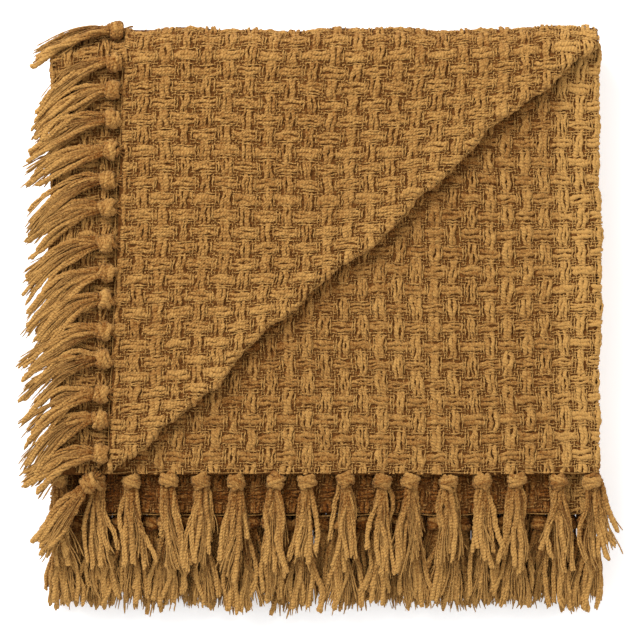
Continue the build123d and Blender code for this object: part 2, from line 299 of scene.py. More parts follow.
def fold_corner(a, b, h):
    """Place of a point a from the fringed edge and b along the stack, h above the corner's face."""
    a, b, h = np.broadcast_arrays(a, b, h)
    x, b, reach = corner_plan(a, b)
    lift = PUFF * (0.75 + 0.25 * np.sin((x - b) / 0.041))
    puffed = lift * np.exp(-(np.maximum(reach, 0) / PUFF_WIDE) ** 2)
    radius = roll_radius + lift / 2
    turn = np.clip(-reach / radius, 0, MOST_ROLL)
    rolled = -(radius + h) * np.sin(turn)
    rolled_z = corner_z + lift - radius + (radius + h) * np.cos(turn)
    on_roll = reach < 0
    shift = np.where(on_roll, rolled - reach, 0)
    x = x + shift * crease_across[0]
    y = b + shift * crease_across[1]
    z = np.where(on_roll, rolled_z, corner_z + puffed + h)
    past = np.maximum(y - back_start, 0)
    swing = past / lip_radius
    arm = lip_radius + (z - corner_z)
    over = y > back_start
    z = np.where(over, bend_z + arm * np.cos(swing), z)
    y = np.where(over, back_start + arm * np.sin(swing), y)
    return soft_corners(np.stack([x, y, z], axis=-1))


print("roll radius", roll_radius, "lip radius", lip_radius)

# %% [markdown]
# ## Yarn as a tube
# A yarn is a long tube that is a little flattened, a little uneven and never quite straight. A
# curve with a bevel would do for a few of them. A throw has thousands, so the rings of the tubes are
# worked out as arrays and joined to one mesh for each set of yarns. Each tube also gets its own
# strip of the texture space, and a second map that runs in millimetres along the yarn, which the
# material uses for its twist.

# %% Meshes from rings
MOST_QUADS = 90000
STRIP_GAP = 0.03


def smooth_noise(count, t, waves, strength):
    """Uneven but smooth values: one row for each yarn, sampled at the distances t."""
    total = np.zeros((count, len(t)))
    for wave in waves:
        phase = random.uniform(0, 2 * math.pi, (count, 1))
        stretch = random.uniform(0.8, 1.25, (count, 1))
        total += np.sin(2 * math.pi * t[None, :] / (wave * stretch) + phase)
    return total * strength / math.sqrt(len(waves))


def new_mesh_piece(name, points, faces, tint, strip_map, yarn_map, material):
    """One smooth mesh from arrays; tint and the two maps may be None."""
    mesh = bpy.data.meshes.new(name)
    mesh.vertices.add(len(points))
    mesh.vertices.foreach_set("co", points.astype(np.float32).ravel())
    corners = faces.shape[1]
    mesh.loops.add(faces.size)
    mesh.loops.foreach_set("vertex_index", faces.astype(np.int32).ravel())
    mesh.polygons.add(len(faces))
    starts = np.arange(0, faces.size, corners, dtype=np.int32)
    mesh.polygons.foreach_set("loop_start", starts)
    mesh.update(calc_edges=True)
    mesh.polygons.foreach_set("use_smooth", np.ones(len(faces), dtype=bool))
    if tint is not None:
        layer = mesh.attributes.new("tint", "FLOAT", "POINT")
        layer.data.foreach_set("value", tint.astype(np.float32).ravel())
    if strip_map is not None:
        layer = mesh.uv_layers.new(name="OFBake")
        layer.data.foreach_set("uv", strip_map.astype(np.float32).ravel())
    if yarn_map is not None:
        layer = mesh.uv_layers.new(name="yarn")
        layer.data.foreach_set("uv", yarn_map.astype(np.float32).ravel())
    mesh.validate()
    piece = bpy.data.objects.new(name, mesh)
    bpy.context.scene.collection.objects.link(piece)
    piece.data.materials.append(material)
    return piece


def drop_unused(points, faces):
    """A mask of the points that the faces use, and the faces renumbered to those points."""
    used = np.zeros(len(points), dtype=bool)
    used[faces.ravel()] = True
    renumber = np.cumsum(used) - 1
    return used, renumber[faces]


def tube_faces(count, stations, sides):
    """Four-cornered faces of a set of tubes, and the yarn, station and side that each lies on."""
    index = np.arange(count * stations * sides).reshape(count, stations, sides)
    after = np.roll(index, -1, axis=2)
    faces = np.stack([index[:, :-1], after[:, :-1], after[:, 1:], index[:, 1:]], axis=-1)
    row = np.broadcast_to(np.arange(count)[:, None, None], faces.shape[:3])
    station = np.broadcast_to(np.arange(stations - 1)[None, :, None], faces.shape[:3])
    side = np.broadcast_to(np.arange(sides)[None, None, :], faces.shape[:3])
    return faces, row, station, side


def tube_maps(row, station, side, run, stations, sides):
    """Each face's place in its yarn's own strip of texture space, and in millimetres along it."""
    step_along = np.array([0, 0, 1, 1])
    step_around = np.array([0, 1, 1, 0])
    filled = 1 - 2 * STRIP_GAP
    across = (row[..., None] + (side[..., None] + step_around) / sides * filled + STRIP_GAP) / len(run)
    lengthwise = (station[..., None] + step_along) / (stations - 1)
    run_a = run[row, station]
    run_b = run[row, station + 1]
    run_mm = np.stack([run_a, run_a, run_b, run_b], axis=-1)
    around = (side[..., None] + step_around) / sides
    return np.stack([lengthwise, across], axis=-1), np.stack([run_mm, around], axis=-1)


def tubes_from_rings(name, rings, tint, lengths, material, keep=None):
    """rings is (yarns, stations, sides, 3); returns the pieces it took, each of modest size."""
    yarns, stations, sides, _ = rings.shape
    batch = max(1, MOST_QUADS // ((stations - 1) * sides))
    pieces = []
    for first in range(0, yarns, batch):
        part = rings[first:first + batch]
        faces, row, station, side = tube_faces(len(part), stations, sides)
        strip, yarn = tube_maps(row, station, side, lengths[first:first + batch], stations, sides)
        face_places = faces.shape[:3]
        faces = faces.reshape(-1, 4)
        strip = strip.reshape(-1, 4, 2)
        yarn = yarn.reshape(-1, 4, 2)
        points = part.reshape(-1, 3)
        shade = np.repeat(tint[first:first + batch].reshape(-1), sides)
        if keep is not None:
            kept = np.broadcast_to(keep[first:first + batch, :, None], face_places).reshape(-1)
            used, faces = drop_unused(points, faces[kept])
            points = points[used]
            shade = shade[used]
            strip = strip[kept]
            yarn = yarn[kept]
        if len(faces) == 0:
            continue
        label = name + "_" + str(len(pieces) + 1)
        pieces.append(new_mesh_piece(label, points, faces, shade, strip, yarn, material))
    return pieces


print("meshes are split at", MOST_QUADS, "faces")

# %% [markdown]
# ## The look of the yarn
# The yarn is soft, brushed and dull. It is dyed one ochre, but the dye takes a little more on some
# yarns than on others, and loose fibres catch the light, which the finer noise paints as pale and
# dark specks. So the colour mixes a deeper and a paler ochre by the tint that each yarn carries and
# by two sizes of noise. Besides the dye, that tint carries painted shade and painted light, laid in
# by the height of each yarn and by where the cloth lies. The twist of the plies and the fuzz are
# bumps, because they are finer than any mesh, while the yarns themselves are all modelled.
# Both materials of the cloth are put together from the same few small helpers.

# %% Helpers for the materials
def dull_shader(name, roughness, specular):
    """A new material without shine: the material, its node tree and its shader."""
    material = bpy.data.materials.new(name)
    material.use_nodes = True
    shader = material.node_tree.nodes["Principled BSDF"]
    shader.inputs["Roughness"].default_value = roughness
    shader.inputs["Specular IOR Level"].default_value = specular
    return material, material.node_tree, shader


def add_noise(tree, scale, detail, roughness=0.5):
    """Noise that is fixed to the object, so that it stays with the cloth."""
    place = tree.nodes.new("ShaderNodeTexCoord")
    noise = tree.nodes.new("ShaderNodeTexNoise")
    noise.inputs["Scale"].default_value = scale
    noise.inputs["Detail"].default_value = detail
    noise.inputs["Roughness"].default_value = roughness
    tree.links.new(place.outputs["Object"], noise.inputs["Vector"])
    return noise.outputs["Fac"]


def add_math(tree, operation, *values):
    """One sum of the node tree; each value is a plain number or the output of another node."""
    node = tree.nodes.new("ShaderNodeMath")
    node.operation = operation
    for socket, value in zip(node.inputs, values):
        if isinstance(value, float):
            socket.default_value = value
        else:
            tree.links.new(value, socket)
    return node.outputs["Value"]


print("helpers ready")

# %% Yarn material
# Darkest stop of the yarn colour: the deepest dye that the noise reaches, and the painted shade where the
# tint is lowered.
DARKEST_DYE_AND_SHADE = (0.042, 0.012, 0.0012)
DEEP_AT = 0.3
PLIES = 2


def yarn_colour(tree, fibre, deep, pale):
    """Colour from dark brown to pale ochre by the yarn's tint and two sizes of noise; the tint holds its
    dye and also painted shade and painted light.
    """
    tint = tree.nodes.new("ShaderNodeAttribute")
    tint.attribute_name = "tint"
    broad = add_noise(tree, 430.0, 3.0)
    mottled = add_math(tree, "MULTIPLY_ADD", broad, 1.1, tint.outputs["Fac"])
    brushed = add_math(tree, "MULTIPLY_ADD", fibre, 3.2, mottled)
    shift = tree.nodes.new("ShaderNodeMapRange")
    shift.inputs["From Min"].default_value = 0.68
    shift.inputs["From Max"].default_value = 2.75
    tree.links.new(brushed, shift.inputs["Value"])
    ramp = tree.nodes.new("ShaderNodeValToRGB")
    ramp.color_ramp.elements[0].color = (*DARKEST_DYE_AND_SHADE, 1.0)
    ramp.color_ramp.elements[1].color = (*pale, 1.0)
    ramp.color_ramp.elements.new(DEEP_AT).color = (*deep, 1.0)
    tree.links.new(shift.outputs["Result"], ramp.inputs["Fac"])
    return ramp.outputs["Color"]


def yarn_relief(tree, fibre, twist_mm, twist_depth):
    """Bumps of the twisted plies and of the fuzz; the yarn map gives the way along and round."""
    yarn = tree.nodes.new("ShaderNodeUVMap")
    yarn.uv_map = "yarn"
    parts = tree.nodes.new("ShaderNodeSeparateXYZ")
    tree.links.new(yarn.outputs["UV"], parts.inputs["Vector"])
    turn = add_math(tree, "MULTIPLY_ADD", parts.outputs["X"], 1.0 / twist_mm, parts.outputs["Y"])
    whole = add_math(tree, "MULTIPLY", turn, 2 * math.pi * PLIES)
    wave = add_math(tree, "SINE", whole)
    height = add_math(tree, "MULTIPLY_ADD", wave, twist_depth, fibre)
    bump = tree.nodes.new("ShaderNodeBump")
    bump.inputs["Strength"].default_value = 0.9
    bump.inputs["Distance"].default_value = 0.0009
    tree.links.new(height, bump.inputs["Height"])
    return bump.outputs["Normal"]


def soft_yarn(name, deep, pale, twist_mm, sheen):
    """Brushed yarn in one dye, with its twist and its fuzz."""
    material, tree, shader = dull_shader(name, 0.92, 0.08)
    shader.inputs["Sheen Weight"].default_value = sheen
    shader.inputs["Sheen Roughness"].default_value = 0.55
    shader.inputs["Sheen Tint"].default_value = (1.0, 0.86, 0.62, 1.0)
    fibre = add_noise(tree, 760.0, 3.0, 0.75)
    tree.links.new(yarn_colour(tree, fibre, deep, pale), shader.inputs["Base Color"])
    tree.links.new(yarn_relief(tree, fibre, twist_mm, 0.35), shader.inputs["Normal"])
    return material


thick_yarn = soft_yarn("thick_yarn", (0.155, 0.044, 0.0036), (0.52, 0.280, 0.079), 5.0, 0.06)
fine_yarn = soft_yarn("fine_yarn", (0.150, 0.043, 0.0036), (0.56, 0.302, 0.087), 2.4, 0.05)
print("yarn materials", thick_yarn.name, fine_yarn.name)

# %% [markdown]
# ## The ground of the cloth
# Between the yarns there is no gap right through: more yarns lie below and the holes look dark
# brown. One continuous thin sheet through the middle of the cloth gives that depth, and it is also
# the true sheet of this throw, cut flat and folded, that all yarns are carried on. Its dark brown is
# painted shade: it stands for the shaded yarns that lie below.

# %% Ground material and sheets
def ground_in_painted_shade():
    """The dull dark brown of the holes between the yarns: painted shade of the yarns that lie below."""
    material, tree, shader = dull_shader("cloth_ground_painted_shade", 0.95, 0.1)
    ramp = tree.nodes.new("ShaderNodeValToRGB")
    ramp.color_ramp.elements[0].position = 0.35
    ramp.color_ramp.elements[0].color = (0.062, 0.021, 0.0035, 1.0)
    ramp.color_ramp.elements[1].position = 0.7
    ramp.color_ramp.elements[1].color = (0.170, 0.064, 0.013, 1.0)
    tree.links.new(add_noise(tree, 420.0, 4.0), ramp.inputs["Fac"])
    tree.links.new(ramp.outputs["Color"], shader.inputs["Base Color"])
    return material


ground_material = ground_in_painted_shade()
ground_half = 0.15 * MM
GROUND_STEP = 7 * MM
CORNER_STEP_A = 4 * MM
CORNER_WIDE = 0.40
STILL_EDGE = 5.3 * MM


def thin_sheet(name, fold, us, vs, keep):
    """A closed thin sheet on a grid of the flat cloth; keep says which cells are there."""
    grid_u, grid_v = np.meshgrid(us, vs, indexing="ij")
    upper = fold(grid_u, grid_v, ground_half).reshape(-1, 3)
    lower = fold(grid_u, grid_v, -ground_half).reshape(-1, 3)
    index = np.arange(len(us) * len(vs)).reshape(len(us), len(vs))
    cells = np.stack([index[:-1, :-1], index[1:, :-1], index[1:, 1:], index[:-1, 1:]], axis=-1)
    cells = cells[keep]
    edges = np.concatenate([cells[:, [k, (k + 1) % 4]] for k in range(4)])
    code = edges.min(axis=1) * len(upper) + edges.max(axis=1)
    values, first, counts = np.unique(code, return_index=True, return_counts=True)
    rim = edges[first[counts == 1]]
    shift = len(upper)
    walls = np.stack([rim[:, 1], rim[:, 0], rim[:, 0] + shift, rim[:, 1] + shift], axis=-1)
    faces = np.concatenate([cells, cells[:, ::-1] + shift, walls])
    points = np.concatenate([upper, lower])
    used, faces = drop_unused(points, faces)
    return new_mesh_piece(name, points[used], faces, None, None, None, ground_material)


def sized_steps(length, step):
    """Even steps over a length, as near to the wished step as they come out."""
    return np.linspace(0, length, int(round(length / step)) + 1)


def top_layer_kept(u, v, spare):
    """False where the top third of the first quarter was turned back over the crease."""
    place = fold_throw(u, v, 0)
    on_top = (u < across_starts[1]) & (v < path_starts[1] + outer_radius * 1.3)
    return ~(on_top & (beyond_crease(place[..., 0], place[..., 1]) < spare))


ground_u = sized_steps(sheet_width, GROUND_STEP)
ground_v = sized_steps(sheet_length, GROUND_STEP)
mid_u, mid_v = np.meshgrid((ground_u[1:] + ground_u[:-1]) / 2, (ground_v[1:] + ground_v[:-1]) / 2,
                           indexing="ij")
short_under = (mid_u > across_starts[4]) & (mid_v < under_low[1] - first_edge)
kept_cells = top_layer_kept(mid_u, mid_v, STILL_EDGE + 4 * MM) & ~short_under
stack_ground = thin_sheet("stack_ground_cloth", fold_throw, ground_u, ground_v, kept_cells)

corner_depth = lip_radius + back_start
corner_a = sized_steps(CORNER_WIDE, CORNER_STEP_A)
corner_b = np.linspace(first_edge - 2 * MM, corner_depth, 90)
mid_a, mid_b = np.meshgrid((corner_a[1:] + corner_a[:-1]) / 2, (corner_b[1:] + corner_b[:-1]) / 2,
                           indexing="ij")
corner_reach = corner_plan(mid_a, mid_b)[2]
corner_right = fold_corner(mid_a, mid_b, 0)[..., 0]
corner_cells = (corner_reach > -roll_radius * 3.6) & (corner_right < side_x)
corner_ground = thin_sheet("corner_ground_cloth", fold_corner, corner_a, corner_b, corner_cells)

# %% [markdown]
# ## The weave
# Seen close, the cloth is a checkerboard of soft floats. Pairs and threes of thick yarn run both
# ways, over one group and under the next. Between two thick groups runs a band of three fine yarns,
# and where two such bands cross there is a tiny open mesh with pin holes. A flat picture of this
# would never shade right, so each yarn is laid out as a wave that rises over and dips under the
# yarns it meets, and the fold functions bend it into place.

# %% The rise and fall of a yarn
CELL = 14.4 * MM
RISE = 0.92 * MM
FINE_STEP = 2.35 * MM
FINE_HALF = 0.68 * MM
STEEP = 1.15


def soft_square(c):
    """A wave with flatter tops and steeper flanks than a cosine."""
    return np.tanh(STEEP * c) / math.tanh(STEEP)


def thick_height(run, own_index, cell):
    """Height of a thick yarn: over at even crossings, under at odd ones."""
    return soft_square(np.cos(math.pi * run / cell + math.pi * own_index))


def fine_height(run, place, cell, cell_across, own_index, rank):
    """Height of a fine yarn: small steps in its own band, large ones past the thick yarns."""
    phase = run / cell
    nearest = np.round(phase)
    over = np.cos(math.pi * (place + 0.1 * FINE_STEP) / cell_across + math.pi * nearest)
    past_thick = 0.70 * MM * np.sign(over) * own_index
    in_band = 0.72 * MM * np.cos(math.pi * (run - (nearest + 0.5) * cell) / FINE_STEP + math.pi * rank)
    near = np.clip((0.30 - np.abs(phase - nearest)) / 0.10 + 0.5, 0, 1)
    near = near * near * (3 - 2 * near)
    return past_thick * near + in_band * (1 - near)


print("weave cell", CELL * 1000, "mm")


# %% [markdown]
# ## Laying a field of yarns
# One function lays all yarns of one direction over a piece of the cloth. Each group wanders a
# little, each yarn swells into slubs and thins again, and the two directions share one gentle
# distortion of the whole field, so that they still cross where they should. The tint of a yarn
# follows its height as painted shade: darker where it dips under, paler where it rides over. It also
# carries painted shade under the fringe and beside the crease, and painted light on the right-hand
# edge and on the turned corner near its fold.

# %% The yarns of a field
FIRST_WEFT = 4 * MM
RIGHT_EDGE_PAINTED_LIGHT = 1.0
UNDER_FRINGE_PAINTED_SHADE = 0.45
UNDER_CREASE_PAINTED_SHADE = 0.55
ON_FOLD_PAINTED_LIGHT = 0.22


def field_drift(u, v):
    """A gentle common distortion of the weave, in metres, in both directions."""
    du = 1.5 * np.sin(u / 0.061 + 1.3) * np.cos(v / 0.083) + 0.9 * np.sin(v / 0.027 + u / 0.11)
    dv = 1.5 * np.cos(u / 0.071) * np.sin(v / 0.059 + 0.7) + 0.9 * np.sin(u / 0.031 - v / 0.13)
    du = du + 0.4 * np.sin(v / 0.0093 + u / 0.05)
    dv = dv + 0.4 * np.sin(u / 0.0087 - v / 0.06)
    return du * MM, dv * MM


def thick_group(group, cell_own, along_v):
    """(place, half width, half height, group, rank) of the two or three thick yarns of a group."""
    three = random.random() < (0.60 if along_v else 0.35)
    number = 3 if three else 2
    width = random.uniform(6.0, 7.8) * MM if along_v else random.uniform(5.8, 7.4) * MM
    shift = random.uniform(-0.5, 0.5) * MM
    yarns = []
    for k in range(number):
        own = group * cell_own + shift + (k - (number - 1) / 2) * width / number
        half = width / number * random.uniform(0.52, 0.68)
        tall = random.uniform(1.05, 1.35) * MM
        yarns.append((own, half, tall, group, k))
    return yarns


def fine_group(group, cell_own):
    """The same for the three fine yarns that run between this thick group and the next."""
    middle = (group + 0.5) * cell_own
    return [(middle + (k - 1) * FINE_STEP, FINE_HALF, FINE_HALF, group, k) for k in range(3)]


def yarns_of_field(fine, along_v, span_own, cell_own):
    """Places, half sizes, groups and ranks of all yarns of one kind that lie inside the span."""
    yarns = []
    for group in range(math.floor(span_own[0] / cell_own), math.ceil(span_own[1] / cell_own) + 1):
        yarns += fine_group(group, cell_own) if fine else thick_group(group, cell_own, along_v)
    own, half, tall, index, rank = np.array(yarns).T
    first_own = span_own[0] + (0 if along_v or fine else FIRST_WEFT)
    inside = (own > first_own) & (own < span_own[1])
    return own[inside], half[inside], tall[inside], index[inside], rank[inside]


def slubs(fine, number, run, cell_run):
    """How much thicker or thinner each yarn is along its way."""
    if not fine:
        return 1 + smooth_noise(number, run, (0.0043, 0.011, 0.027), 0.25)
    slub = 1 + smooth_noise(number, run, (0.0026, 0.0047, 0.011), 0.32)
    off_crossing = np.abs(run / cell_run - np.round(run / cell_run))
    return slub * (1.14 - 0.32 * np.clip((off_crossing - 0.2) / 0.1, 0, 1))[None, :]


def woven_height(fine, along_v, own, index, rank, run, cell_own, cell_run, facing):
    """Height of each yarn over the middle of the cloth, before its own unevenness."""
    sign = 1 if along_v else -1
    if fine:
        ranks = rank[:, None] + (0 if along_v else 1)
        return fine_height(run[None, :], own[:, None], cell_run, cell_own, sign, ranks)
    rise = (1.05 if along_v else 0.85) * RISE
    height = sign * rise * thick_height(run[None, :], index[:, None], cell_run)
    return height + facing * sign * 0.22 * RISE


def dye_and_shade_of_yarns(fine, run, height, facing):
    """How much dye each yarn took along its way, and for the fine yarns painted shade by height: high
    places paler, low places darker.
    """
    number = len(height)
    tint = random.uniform(-0.13, 0.13, (number, 1)) + smooth_noise(number, run, (0.02, 0.06), 0.14)
    if fine:
        tint = tint + 0.08 + smooth_noise(number, run, (0.0026, 0.006), 0.34)
        # Painted shade and painted highlight: a fine yarn is paler where it rides over and darker where it
        # dips under.
        tint = tint + 0.34 * facing * height / RISE
    return tint


def painted_shade_and_light(middle, facing, under_fringe, of_corner):
    """Painted shade under the fringe and beside the crease, painted light on the right-hand edge and on
    the turned corner near its fold.
    """
    # Painted light on the right-hand edge, where the cloth rounds over to the side.
    right_edge_light = np.clip((middle[..., 0] - side_x + 36 * MM) / (20 * MM), 0, 1)
    tint = RIGHT_EDGE_PAINTED_LIGHT * right_edge_light
    if under_fringe:
        # Painted shade under the tassels, on the upper part of the cloth that they cover.
        near_top = np.clip((middle[..., 2] - top_z + 9 * MM) / (7 * MM), 0, 1)
        tint = tint - UNDER_FRINGE_PAINTED_SHADE * near_top
    from_crease = beyond_crease(middle[..., 0], middle[..., 1])
    if facing < 0:
        # Painted shadow of the turned corner's roll on the cloth beside the crease.
        tint = tint - UNDER_CREASE_PAINTED_SHADE * np.exp(-np.maximum(-from_crease, 0) / (20 * MM))
    if of_corner:
        # Painted light on the turned corner, brightest near its fold.
        tint = tint + ON_FOLD_PAINTED_LIGHT * np.exp(-np.abs(from_crease) / (30 * MM))
    return tint


print("yarns of a group, their height, their dye and their shade are ready")


# %% Lay one direction
def lay_yarns(name, fold, along_v, span_own, span_run, cells, keep_at, detail, facing, shade,
              under_fringe, favour):
    """Yarns that run along v (or along u), laid side by side over span_own, as long as span_run."""
    cell_own, cell_run = cells
    thick_steps, thick_sides, fine_steps, fine_sides = detail
    made = []
    for fine in (False, True):
        steps_per_cell = fine_steps if fine else thick_steps
        sides = fine_sides if fine else thick_sides
        count = int(round((span_run[1] - span_run[0]) / cell_run * steps_per_cell)) + 1
        run = np.linspace(span_run[0], span_run[1], count)
        own, half, tall, index, rank = yarns_of_field(fine, along_v, span_own, cell_own)
        number = len(own)
        if number == 0:
            continue
        slub = slubs(fine, number, run, cell_run)
        waves = (0.0061, 0.017, 0.05) if fine else (0.012, 0.03, 0.07)
        sway = smooth_noise(number, run, waves, 0.45 * MM if fine else 0.85 * MM)
        lift = smooth_noise(number, run, (0.008, 0.023), 0.17 * MM if fine else 0.52 * MM)
        height = woven_height(fine, along_v, own, index, rank, run, cell_own, cell_run, facing) + lift
        angle = np.linspace(0, 2 * math.pi, sides, endpoint=False) + math.pi / sides
        rough = 0.28 if fine else 0.24
        fluff = 1 + random.uniform(-rough, rough, (number, count, sides))
        side = own[:, None, None] + sway[:, :, None]
        side = side + (half[:, None, None] * slub[:, :, None]) * np.cos(angle) * fluff
        body = tall[:, None, None] * (0.5 + 0.5 * slub[:, :, None])
        up = height[:, :, None] + body * np.sin(angle) * fluff
        length = np.broadcast_to(run[None, :, None], side.shape)
        u, v = (side, length) if along_v else (length, side)
        drift_u, drift_v = field_drift(u, v)
        u = u + drift_u
        v = v + drift_v
        rings = fold(u, v, up)
        rings[..., 2] = np.maximum(rings[..., 2], 0)
        centre_u = u.mean(axis=2)
        centre_v = v.mean(axis=2)
        keep = keep_at(centre_u, centre_v)
        keep = keep[:, 1:] & keep[:, :-1]
        tint = dye_and_shade_of_yarns(fine, run, height, facing) + (favour if along_v else -favour)
        # Painted shade by height: a yarn is darker where it dips under and paler where it rides over;
        # shade adds painted shade to the whole part.
        tint = tint + 0.08 * facing * height / RISE + shade
        tint = tint + 0.06 * np.sin(centre_u / 0.037 + 1) * np.sin(centre_v / 0.045)
        tint = tint + painted_shade_and_light(rings.mean(axis=2), facing, under_fringe, fold is fold_corner)
        lengths = np.broadcast_to(run[None, :] * 1000, (number, count))
        label = name + ("_fine" if fine else "_thick") + ("_warp" if along_v else "_weft")
        material = fine_yarn if fine else thick_yarn
        made += tubes_from_rings(label, rings, tint, lengths, material, keep)
    return made


# %% Lay both directions
# Stations in each cell and sides of a tube, for the thick yarns and then for the fine ones.
FULL_DETAIL = (10, 6, 13, 4)
SIDE_DETAIL = (7, 5, 8, 3)


def lay_cloth(name, fold, span_u, span_v, cells, keep_at, detail, facing=1, shade=0.0,
              under_fringe=False, favour=0.0):
    """Warp and weft over one part of the cloth.

    facing is -1 where the seen side is the sheet's back, shade darkens the whole part with painted
    shade, under_fringe adds painted shade to what lies below the tassels, and favour makes the warp
    paler than the weft.
    """
    made = lay_yarns(name, fold, True, span_u, span_v, cells, keep_at, detail, facing, shade,
                     under_fringe, favour)
    turned = (cells[1], cells[0])
    made += lay_yarns(name, fold, False, span_v, span_u, turned, keep_at, detail, facing, shade,
                      under_fringe, favour)
    faces = sum(len(piece.data.polygons) for piece in made)
    print(name, len(made), "pieces", faces, "faces")
    return made


# %% [markdown]
# ## Which parts of the cloth need yarns
# Most of the throw is hidden between other layers. Yarns are laid where the cloth can be seen: the
# middle third that the turned corner leaves bare, the top third that it covers and uncovers, the
# wrap round the back, the underside, both sides and the strip under the fringe.

# %% Yarns of the still stack
cell_u = sheet_width / 90
cell_v = sheet_length / round(sheet_length / CELL)
cells = (cell_u, cell_v)
FOLD_MARGIN = 9 * MM
PAST_FOLD = 10 * MM
PAST_WRAP = 8 * MM
PAST_SIDE = 12 * MM
PAST_BACK = 45 * MM
PAST_CREASE = 24 * MM
SELVEDGE = 16 * MM
FRONT_STRIP = 62 * MM
stack_weave = []


def bare_middle(u, v):
    """The middle third where the turned corner leaves it bare, and a little beyond."""
    place = fold_throw(u, v, 0)
    shown = beyond_crease(place[..., 0], place[..., 1]) < PAST_CREASE
    inside_cloth = (u > across_starts[2]) & (v > 0.0) & (v < path_starts[1] + PAST_BACK)
    shallow = (u <= across_starts[4]) | (place[..., 0] > side_x - PAST_SIDE)
    return inside_cloth & shown & shallow


stack_weave += lay_cloth("middle_third", fold_throw,
                         (across_starts[2], across_starts[4] + PAST_SIDE),
                         (0.0, path_starts[1] + PAST_BACK), cells, bare_middle, FULL_DETAIL, -1,
                         favour=0.11)


def outer_wrap(u, v):
    """The top third and the left fold, from the front over the back to the underside."""
    whole = (u > 0.0) & (v > 0.0) & (v < path_starts[4] + PAST_WRAP)
    return whole & (u < across_starts[2] + PAST_FOLD) & top_layer_kept(u, v, STILL_EDGE)


stack_weave += lay_cloth("outer_wrap", fold_throw, (0.0, across_starts[2] + PAST_FOLD),
                         (0.0, path_starts[4] + PAST_WRAP), cells, outer_wrap, SIDE_DETAIL)


def left_folds(u, v):
    """The left fold of the inner layers."""
    return (u > across_starts[1] - FOLD_MARGIN) & (u < across_starts[2] + FOLD_MARGIN) & (v < sheet_length)


stack_weave += lay_cloth("left_folds", fold_throw,
                         (across_starts[1] - FOLD_MARGIN, across_starts[2] + FOLD_MARGIN),
                         (path_starts[4] + PAST_WRAP, sheet_length), cells, left_folds, SIDE_DETAIL,
                         under_fringe=True)


def right_folds(u, v):
    """The right fold of the layers below the bare one."""
    return (u > across_starts[3] - FOLD_MARGIN) & (u < across_starts[4] + FOLD_MARGIN) & (v < sheet_length)


stack_weave += lay_cloth("right_folds", fold_throw,
                         (across_starts[3] - FOLD_MARGIN, across_starts[4] + FOLD_MARGIN),
                         (path_starts[1] + PAST_BACK, sheet_length), cells, right_folds, SIDE_DETAIL, -1)

# %% Yarns of the free edges
under_start = under_low[1] - first_edge
last_u = sheet_width - SELVEDGE


def free_edges(u, v):
    """Everywhere inside the cloth."""
    return (u > 0.0) & (u < sheet_width) & (v > 0.0) & (v < sheet_length)


stack_weave += lay_cloth("top_selvedge", fold_throw, (0.0, SELVEDGE),
                         (path_starts[4] + PAST_WRAP, sheet_length), cells, free_edges, SIDE_DETAIL)
stack_weave += lay_cloth("under_selvedge", fold_throw, (last_u, sheet_width),
                         (under_start, sheet_length), cells, free_edges, SIDE_DETAIL, -1)
# The front strip lies under the fringe; its shade of -0.75 is painted shade.
stack_weave += lay_cloth("front_strip", fold_throw, (across_starts[3] + FOLD_MARGIN, last_u),
                         (sheet_length - FRONT_STRIP, sheet_length), cells, free_edges, FULL_DETAIL, -1,
                         shade=-0.75)
stack_weave += lay_cloth("front_ends", fold_throw, (SELVEDGE, across_starts[3] - FOLD_MARGIN),
                         (sheet_length - SELVEDGE, sheet_length), cells, free_edges, SIDE_DETAIL)
stack_weave += lay_cloth("under_front", fold_throw, (across_starts[4] + PAST_SIDE, last_u),
                         (under_start, under_start + SELVEDGE), cells, free_edges, SIDE_DETAIL)

# %% Yarns of the turned-back corner
corner_cells_size = (16.4 * MM, 12.65 * MM)


def corner_shown(a, b):
    """The corner as far as it rolls under the crease and reaches the right-hand edge."""
    reach = corner_plan(a, b)[2]
    place = fold_corner(a, b, 0)
    inside = (place[..., 0] < side_x + 1.5 * MM) & (a > 0) & (b < corner_depth)
    return inside & (reach > -roll_radius * 4.0)


corner_weave = lay_cloth("corner_cloth", fold_corner, (0.0, 0.42), (first_edge - 5 * MM, corner_depth),
                         corner_cells_size, corner_shown, FULL_DETAIL, shade=-0.06,
                         favour=-0.06)

# %% [markdown]
# ## Overhand knots
# At each fringed edge the warp ends are gathered, two groups at a time, and tied in an overhand
# knot against the cloth. Seen from above such a knot is a small ball wrapped by its own strands. It is
# built as a few yarns wound round an egg-shaped core, tilted differently on each knot. The last two
# of them cross over the others, as the end of a tied knot does.

# %% Tubes along free curves
def tube_rings(paths, half, sides, fuzz=0.14):
    """Rings round free curves: paths is (strands, stations, 3), half is (strands, stations)."""
    ahead = np.gradient(paths, axis=1)
    ahead /= np.linalg.norm(ahead, axis=2, keepdims=True) + 1e-12
    helper = np.zeros_like(ahead)
    helper[..., 2] = 1.0
    flat = np.abs(ahead[..., 2]) > 0.9
    helper[flat] = (1.0, 0.0, 0.0)
    side = np.cross(ahead, helper)
    side /= np.linalg.norm(side, axis=2, keepdims=True) + 1e-12
    up = np.cross(side, ahead)
    angle = np.linspace(0, 2 * math.pi, sides, endpoint=False)
    cos, sin = np.cos(angle), np.sin(angle)
    ring = side[:, :, None, :] * cos[:, None] + up[:, :, None, :] * sin[:, None]
    fluff = 1 + random.uniform(-fuzz, fuzz, paths.shape[:2] + (sides,))
    return paths[:, :, None, :] + ring * (half[:, :, None] * fluff)[..., None]


def run_lengths(paths):
    """Millimetres from the start of each path to each of its stations."""
    step = np.linalg.norm(np.diff(paths, axis=1), axis=2)
    return np.concatenate([np.zeros((len(paths), 1)), np.cumsum(step, axis=1)], axis=1) * 1000


KNOT_LONG = 13.0 * MM
KNOT_WIDE = 7.3 * MM
KNOT_TALL = 6.3 * MM
WINDINGS = 7
FIRST_CROSSING = 5
CROSSING_HIGHER = 0.6 * MM


